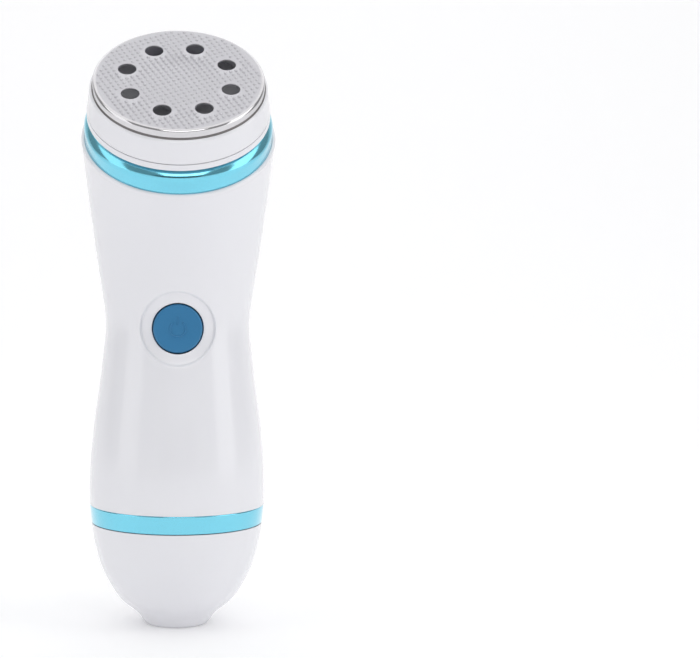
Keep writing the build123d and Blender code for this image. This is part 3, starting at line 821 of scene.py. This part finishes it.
class BuildShells(bpy.types.Operator):
    """Front shell with its button dish, and rear shell, with a fine parting line between them"""

    bl_idname = "callus_remover.shells"
    bl_label = "Handle shells"

    def execute(self, context):
        handle = context.scene.callus_handle
        button = context.scene.callus_button
        white = finish("moulded_white", white_plastic, handle.shell_colour)
        dish, depth = button.recess_radius, button.recess_depth
        profile = [
            (HOLE_RADIUS, depth + 0.2),
            (HOLE_RADIUS + 0.03, depth + 0.09),
            (HOLE_RADIUS + 0.1, depth + 0.02),
            (HOLE_RADIUS + 0.25, depth),
            (HOLE_RADIUS + 0.9, depth),
            (dish - 0.55, depth),
        ]
        for step in range(1, 13):
            part = step / 12
            rise = part * part * (3 - 2 * part)
            profile.append((dish - 0.55 + 0.7 * part, depth * (1 - rise)))
        front = Skin()
        outside, inside = half_shell(front, pi, handle.columns, handle.seam, True)
        rings = opening_rings(outside, profile, 0.0)
        front.grid(rings, closed=True)
        bearings = [atan2(point.z - BUTTON_HEIGHT, point.x) for point in outside]
        through = [
            [
                front_point(HOLE_RADIUS * cos(b), BUTTON_HEIGHT + HOLE_RADIUS * sin(b), inset)
                for b in bearings
            ]
            for inset in (depth + 0.2, SHELL_WALL)
        ]
        front.grid(through, closed=True)
        back = [through[1]]
        for step in range(1, 6):
            part = step / 5
            back.append([
                front_point(
                    start.x * (1 - part) + end.x * part, start.z * (1 - part) + end.z * part, SHELL_WALL
                )
                for start, end in zip(through[1], inside)
            ])
        front.grid(back, closed=True)
        front.finish("handle_front", "handle", "shell_white", [white], ["front_shell"])
        rear = Skin()
        half_shell(rear, 0.0, handle.columns, handle.seam, False)
        rear.finish("handle_rear", "handle", "shell_white", [white], ["rear_shell"])
        return {"FINISHED"}


# ------------------------------------------------------------------ rings
class BuildRings(bpy.types.Operator):
    """Blue plated ring under the head, and the band at the battery cap's joint"""

    bl_idname = "callus_remover.rings"
    bl_label = "Plated rings"

    def execute(self, context):
        rings = context.scene.callus_rings
        blue = finish("blue_plating", blue_plating, rings.plate_colour)
        wall = RING_RADIUS
        shoulder = arc_through((wall, 2.6), (wall - 0.62, 4.72), (wall - 2.2, 5.6), 20)
        outline = [(wall, -RING_SEAT), (wall, 0.5)] + shoulder
        outline += rounded([
            (20.05, 5.6, 0.2),
            (20.05, 2.2, 0.1),
            (19.2, 2.2, 0.1),
            (19.2, -3.0, 0),
            (21.25, -3.0, 0),
            (21.25, -RING_SEAT, 0),
        ], before=outline[-1], after=outline[0])
        top = Skin()
        top.lathe(outline, on_head, rings.segments)
        top.finish("head_ring", "handle", "blue_chrome", [blue], ["top_ring"])
        low, high = node_box("lower_band")
        band = Skin()
        band.lathe(
            rounded([
                (20.05, low.z, 0.1),
                (21.4, low.z, 0.28),
                (21.85, high.z, 0.28),
                (20.05, high.z, 0.1),
            ]),
            upright,
            rings.segments,
        )
        band.finish("cap_ring", "handle", "blue_chrome", [blue], ["lower_band"])
        return {"FINISHED"}


# ------------------------------------------------------------------ battery end
class BuildBatteryEnd(bpy.types.Operator):
    """Battery cap with its contact plate, and the neck with its O-ring, cells and contacts"""

    bl_idname = "callus_remover.battery_end"
    bl_label = "Cap, neck and cells"

    def execute(self, context):
        handle = context.scene.callus_handle
        white = finish("moulded_white", white_plastic, handle.shell_colour)
        nickel = finish("nickel_plate", plain_metal, (0.62, 0.60, 0.56), 0.16, 0.3)
        dress("battery_cap", white)
        dress("battery_holder", white)
        dress("neck_o_ring", finish("black_rubber", soft_rubber, (0.018, 0.018, 0.02)))
        for node in (
            "cap_contact_plate",
            "cap_contact_spring",
            "positive_contact",
            "negative_contact",
            "negative_contact_spring",
        ):
            dress(node, nickel)
        dress("cell_left", finish("cell_sleeve_left", cell_sleeve, 1))
        dress("cell_right", finish("cell_sleeve_right", cell_sleeve, 0))
        return {"FINISHED"}


# ------------------------------------------------------------------ button
def on_button(u, v, h):
    """Point of the button: u to the right, v up, h outward from its face."""
    return Vector((u, BUTTON_FACE - h, BUTTON_HEIGHT + v))


BUTTON_FACE = -17.6


class BuildButton(bpy.types.Operator):
    """Push button with a rounded rim, its flange and a raised power mark"""

    bl_idname = "callus_remover.button"
    bl_label = "Power button"

    def execute(self, context):
        blue = finish("satin_button", button_plastic, context.scene.callus_button.button_colour)
        cap = Skin()
        face = [(0.0, -0.06), (2.5, -0.055), (4.2, -0.03), (5.2, -0.005)]
        rim = rounded([
            (BUTTON_RADIUS, 0.0, 0.5),
            (BUTTON_RADIUS, -3.7, 0.1),
            (FLANGE_RADIUS, -3.7, 0.1),
            (FLANGE_RADIUS, -4.6, 0.1),
            (1.5, -4.6, 0.1),
            (1.5, -5.8, 0.1),
        ], before=face[-1], after=(0.0, -5.8))
        cap.lathe(face + rim + [(0.0, -5.8)], on_button, 144, closed=False)
        cap.finish("button_cap", "button", "button_blue", [blue], ["power_button"])
        mark = Skin()
        sweep_line(mark, [
            (MARK_RADIUS * sin(a), MARK_RADIUS * cos(a) - 0.05)
            for a in np.linspace(radians(38), radians(322), 72)
        ])
        sweep_line(mark, [(0.0, v) for v in np.linspace(0.9, 2.9, 12)])
        mark.finish("button_mark", "button", "button_blue", [blue])
        dress("switch_plunger", finish("black_moulding", plain_plastic, (0.02, 0.02, 0.022), 0.35, 0.5))
        return {"FINISHED"}


def sweep_line(skin, route, half=0.2, height=0.18):
    """Raised rounded line along a route of (u, v) points on the button."""
    section = [(half * cos(a), height * sin(a) - 0.04) for a in np.linspace(0, pi, 9)]
    section += [(-half, -0.1), (half, -0.1)]
    rows = []
    for i, (u, v) in enumerate(route):
        before, after = route[max(i - 1, 0)], route[min(i + 1, len(route) - 1)]
        along_line = Vector((after[0] - before[0], after[1] - before[1])).normalized()
        rows.append([on_button(u + along_line.y * s, v - along_line.x * s, h) for s, h in section])
    skin.grid(rows, closed=True)
    skin.face(rows[0])
    skin.face(rows[-1])


# ------------------------------------------------------------------ rasp head
HOLE_CIRCLE = 13.0
HOLE_COUNT = 8
FIRST_HOLE = 27.6
HOLES = [
    (HOLE_CIRCLE * cos(bearing), HOLE_CIRCLE * sin(bearing))
    for bearing in (radians(FIRST_HOLE + 45 * k) for k in range(HOLE_COUNT))
]


def ring_points(centre_u, centre_v, radius, count, start=0.0):
    """Evenly spaced (u, v) points on a circle."""
    return [
        (
            centre_u + radius * cos(start + 2 * pi * k / count),
            centre_v + radius * sin(start + 2 * pi * k / count),
        )
        for k in range(count)
    ]


def dome(skin, u, v, foot, radius, height, mark=0):
    """Raised point on the disc: a small closed dome, sunk a little at its foot."""
    profile = [(1.0, -0.05), (1.0, 0.0), (0.86, 0.3), (0.62, 0.68), (0.32, 0.93), (0.0, 1.0)]
    rows = []
    for part, rise in profile:
        level = foot + (rise * height if rise > 0 else rise)
        rows.append([on_head(a, b, level) for a, b in ring_points(u, v, radius * part, 10)])
    skin.grid(rows, closed=True, mark=mark)
    skin.face(rows[0], mark)


class BuildRaspDisc(bpy.types.Operator):
    """Steel rasp disc: raised points between eight dust holes, inside a polished rolled edge"""

    bl_idname = "callus_remover.rasp_disc"
    bl_label = "Rasp disc"

    def execute(self, context):
        rasp = context.scene.callus_rasp
        steel = finish("blasted_steel", rasp_steel, rasp.steel_colour, 0.3, 0.42)
        bezel = finish("polished_bezel", polished_bezel, (0.74, 0.73, 0.75))
        # The hem at the foot of the rolled edge gets a dark steel finish: painted shade where the rolled
        # edge meets the cup.
        hem = finish("cut_edge", rasp_steel, (0.2, 0.19, 0.19), 0.4, 0.6)
        top, under, foot = 17.0, 16.5, 14.6
        edge, rim, wall, hole = HEM_RADIUS - 1.05, HEM_RADIUS - 0.65, HEM_RADIUS - 0.2, 2.2
        skin = Skin()

        def clear_of_holes(u, v, gap):
            return all(hypot(u - a, v - b) > gap for a, b in HOLES)

        for level, outside, gap, mark in ((top, edge, hole + 0.12, 0), (under, rim, hole, 0)):
            skin.flat(
                [ring_points(0, 0, outside, 240)] + [ring_points(u, v, gap, 48) for u, v in HOLES],
                on_head,
                level,
                lambda u, v: clear_of_holes(u, v, gap - 0.02),
                mark,
            )
        for hole_u, hole_v in HOLES:
            skin.lathe(
                [(hole + 0.12, top), (hole + 0.05, top - 0.02), (hole, top - 0.1), (hole, under)],
                lambda u, v, h, a=hole_u, b=hole_v: on_head(a + u, b + v, h),
                48,
                closed=False,
            )
        rolled = arc_through((edge, top), (wall - 0.25, top - 0.22), (wall, top - 0.8), 14)
        skin.lathe(rolled + [(wall, top - 1.4), (wall, foot + 0.55)], on_head, 240, closed=False, mark=1)
        hem_line = [(wall, 0.55), (wall + 0.05, 0.42), (wall + 0.17, 0.3), (wall + 0.2, 0.2)]
        hem_line += [(wall + 0.2, 0.0), (rim, 0.0), (rim, under - foot)]
        skin.lathe([(x, foot + h) for x, h in hem_line], on_head, 240, closed=False, mark=2)
        along_row = Vector((0.64, -1.28)).normalized() * rasp.bump_pitch
        reach = edge - 0.02 - rasp.bump_radius
        for i in range(-30, 31):
            for j in range(-30, 31):
                u = along_row.x * i - along_row.y * j
                v = along_row.y * i + along_row.x * j
                if hypot(u, v) < reach and clear_of_holes(u, v, hole + 0.2 + rasp.bump_radius):
                    dome(skin, u, v, top, rasp.bump_radius, rasp.bump_height)
        skin.finish("rasp_plate", "rasp_head", "rasp_steel", [steel, bezel, hem], ["rasp_disc"])
        return {"FINISHED"}


class BuildHead(bpy.types.Operator):
    """White cup that holds the rasp disc, and the turntable it locks on to"""

    bl_idname = "callus_remover.head"
    bl_label = "Cup and turntable"

    def execute(self, context):
        handle = context.scene.callus_handle
        white = finish("moulded_white", white_plastic, handle.shell_colour)
        dress("head_cup", white, 0.18)
        dress("carrier", white, 0.18)
        return {"FINISHED"}


# ------------------------------------------------------------------ inside
class BuildElectronics(bpy.types.Operator):
    """Circuit board with its chip, switch, screws and leads"""

    bl_idname = "callus_remover.electronics"
    bl_label = "Circuit board and leads"

    def execute(self, context):
        black = finish("black_moulding", plain_plastic, (0.02, 0.02, 0.022), 0.35, 0.5)
        steel = finish("bright_steel", plain_metal, (0.5, 0.5, 0.52), 0.22, 0.36)
        dress("circuit_board", finish("board_laminate", board_laminate))
        for node in ("switch_body", "controller_chip"):
            dress(node, black)
        dress("board_screws", steel)
        red = finish("red_lead", plain_plastic, (0.5, 0.015, 0.012), 0.35, 0.5)
        dark = finish("black_lead", plain_plastic, (0.015, 0.015, 0.016), 0.35, 0.5)
        for name in ("battery", "motor"):
            dress(f"positive_{name}_lead", red)
            dress(f"negative_{name}_lead", dark)
        return {"FINISHED"}


class BuildDrive(bpy.types.Operator):
    """Motor, gear train, gearbox, deck plate and drive shaft"""

    bl_idname = "callus_remover.drive"
    bl_label = "Motor and gears"

    def execute(self, context):
        handle = context.scene.callus_handle
        steel = finish("bright_steel", plain_metal, (0.5, 0.5, 0.52), 0.22, 0.36)
        bronze = finish("oiled_bronze", plain_metal, (0.5, 0.32, 0.14), 0.25, 0.42)
        gears = finish("gear_nylon", plain_plastic, (0.72, 0.68, 0.56), 0.32, 0.46)
        for node in ("motor_can", "motor_shaft", "motor_screws", "idler_pin", "deck_screws", "drive_shaft"):
            dress(node, steel)
        for node in ("motor_terminals", "motor_pinion", "shaft_bush"):
            dress(node, bronze)
        for node in ("idler_gear", "output_gear"):
            dress(node, gears)
        dress("motor_end_cap", finish("black_moulding", plain_plastic, (0.02, 0.02, 0.022), 0.35, 0.5))
        dress("gearbox_housing", finish("grey_moulding", plain_plastic, (0.1, 0.105, 0.115), 0.35, 0.5))
        dress("deck_plate", finish("moulded_white", white_plastic, handle.shell_colour))
        return {"FINISHED"}


# ------------------------------------------------------------------ stage
def look_at(item, target, roll=0.0):
    """Turn an object so that its -Z axis points at the target."""
    direction = Vector(target) - item.location
    item.rotation_euler = direction.to_track_quat("-Z", "Y").to_euler()
    item.rotation_euler.rotate_axis("Z", roll)


def soft_light(name, place, target, size, power, colour=(1, 1, 1)):
    """Rectangular softbox. Places and sizes are in millimetres."""
    lamp = bpy.data.lights.new(name, "AREA")
    lamp.shape = "RECTANGLE"
    lamp.size, lamp.size_y = size[0] * MM, size[1] * MM
    lamp.energy = power
    lamp.color = colour
    item = bpy.data.objects.new(name, lamp)
    item.location = Vector(place) * MM
    bpy.context.scene.collection.objects.link(item)
    look_at(item, Vector(target) * MM)
    return item


def stage_card(name, place, target, size, shade):
    """Dark card beside the object, which the plated rings mirror."""
    look = Look(name)
    cloud = look.noise(12, 2)
    material = look.surface(Base_Color=look.mix(cloud, rgba(shade, 0.9), rgba(shade)), Roughness=0.8)
    mesh = bpy.data.meshes.new(name)
    w, h = size[0] / 2 * MM, size[1] / 2 * MM
    mesh.from_pydata([(-w, -h, 0), (w, -h, 0), (w, h, 0), (-w, h, 0)], [], [(0, 1, 2, 3)])
    mesh.materials.append(material)
    item = bpy.data.objects.new(name, mesh)
    item.location = Vector(place) * MM
    item.visible_camera = False
    bpy.context.scene.collection.objects.link(item)
    look_at(item, Vector(target) * MM)


def floor_and_backdrop(shade):
    """Seamless pale sweep: a floor that curves up into a backdrop."""
    look = Look("paper_sweep")
    cloud = look.noise(8, 2)
    material = look.surface(
        Base_Color=look.mix(cloud, rgba(shade, 0.99), rgba(shade)),
        Roughness=0.85,
        Emission_Color=(1, 1, 1, 1),
        Emission_Strength=0.12,
    )
    depth, height, bend, width = 900, 1600, 500, 3000
    outline = [(-2200.0, 0.0), (depth - bend, 0.0)]
    for step in range(1, 25):
        turn = pi / 2 * step / 24
        outline.append((depth - bend + bend * sin(turn), bend - bend * cos(turn)))
    outline.append((float(depth), float(height)))
    skin = Skin()
    skin.grid([[Vector((x, y, z)) for y, z in outline] for x in (-width / 2, width / 2)])
    mesh = bpy.data.meshes.new("paper_sweep")
    mesh.from_pydata([tuple(p * MM) for p in skin.points], [], skin.faces)
    mesh.materials.append(material)
    for face in mesh.polygons:
        face.use_smooth = True
    item = bpy.data.objects.new("paper_sweep", mesh)
    bpy.context.scene.collection.objects.link(item)


LENS_PER_DISTANCE = 0.20545
VIEW_MIDDLE = Vector((0, -3.0, 73.3))
VIEW_ASIDE = 43.1
VIEW_RISE = 1.75


def camera(settings):
    """Camera at the front, a little above the middle, with the object left of its view."""
    lens = bpy.data.cameras.new("camera")
    lens.sensor_width = 36.0
    lens.lens = settings.distance * LENS_PER_DISTANCE
    lens.clip_start = 0.01
    item = bpy.data.objects.new("camera", lens)
    away = Vector((0, -cos(settings.elevation), sin(settings.elevation)))
    item.location = (VIEW_MIDDLE + away * settings.distance) * MM
    bpy.context.scene.collection.objects.link(item)
    aside = Vector((VIEW_ASIDE, 0, 0)) + away.cross(Vector((1, 0, 0))) * VIEW_RISE
    look_at(item, (VIEW_MIDDLE + aside) * MM, settings.roll)
    bpy.context.scene.camera = item


class BuildStage(bpy.types.Operator):
    """Pale sweep, soft studio light and the camera"""

    bl_idname = "callus_remover.stage"
    bl_label = "Stage"

    def execute(self, context):
        scene = context.scene
        settings = scene.callus_stage
        world = bpy.data.worlds.new("studio")
        world.use_nodes = True
        background = world.node_tree.nodes["Background"]
        background.inputs["Color"].default_value = (1, 1, 1, 1)
        background.inputs["Strength"].default_value = settings.ambient
        scene.world = world
        scene.view_settings.view_transform = "Standard"
        soft_light("top_box", (0, 100, 900), (0, 0, 80), (1500, 1500), 5.5 * settings.light)
        soft_light("left_box", (-800, -300, 350), (0, 0, 80), (500, 900), 1.4 * settings.light)
        soft_light("right_box", (800, -300, 400), (0, 0, 80), (500, 900), 1.9 * settings.light)
        soft_light("front_box", (100, -1200, 700), (0, 0, 60), (900, 600), 3.5 * settings.light)
        stage_card("dark_card", (0, -1500, 130), (0, 0, 80), (1300, 300), (0.02, 0.02, 0.02))
        floor_and_backdrop((0.93, 0.93, 0.94))
        camera(settings)
        return {"FINISHED"}


# ------------------------------------------------------------------ panel
STEPS = (
    BuildShells,
    BuildRings,
    BuildBatteryEnd,
    BuildButton,
    BuildRaspDisc,
    BuildHead,
    BuildElectronics,
    BuildDrive,
    BuildStage,
)
SETTINGS = {
    "callus_handle": HandleSettings,
    "callus_rings": RingSettings,
    "callus_button": ButtonSettings,
    "callus_rasp": RaspSettings,
    "callus_stage": StageSettings,
}


class CallusRemoverPanel(bpy.types.Panel):
    """Sizes and colours of the callus remover, and one button for each piece"""

    bl_idname = "VIEW3D_PT_callus_remover"
    bl_label = "Callus Remover"
    bl_space_type = "VIEW_3D"
    bl_region_type = "UI"
    bl_category = "Callus Remover"

    def draw(self, context):
        for name, group in SETTINGS.items():
            box = self.layout.box()
            for item in group.__annotations__:
                box.prop(getattr(context.scene, name), item)
        for step in STEPS:
            self.layout.operator(step.bl_idname)


def register():
    for group in SETTINGS.values():
        bpy.utils.register_class(group)
    for name, group in SETTINGS.items():
        setattr(bpy.types.Scene, name, PointerProperty(type=group))
    for step in (*STEPS, CallusRemoverPanel):
        bpy.utils.register_class(step)


def unregister():
    for step in (*STEPS, CallusRemoverPanel):
        bpy.utils.unregister_class(step)
    for name, group in SETTINGS.items():
        delattr(bpy.types.Scene, name)
        bpy.utils.unregister_class(group)


def main():
    register()
    for step in STEPS:
        family, name = step.bl_idname.split(".")
        getattr(getattr(bpy.ops, family), name)()


if __name__ == "__main__":
    main()
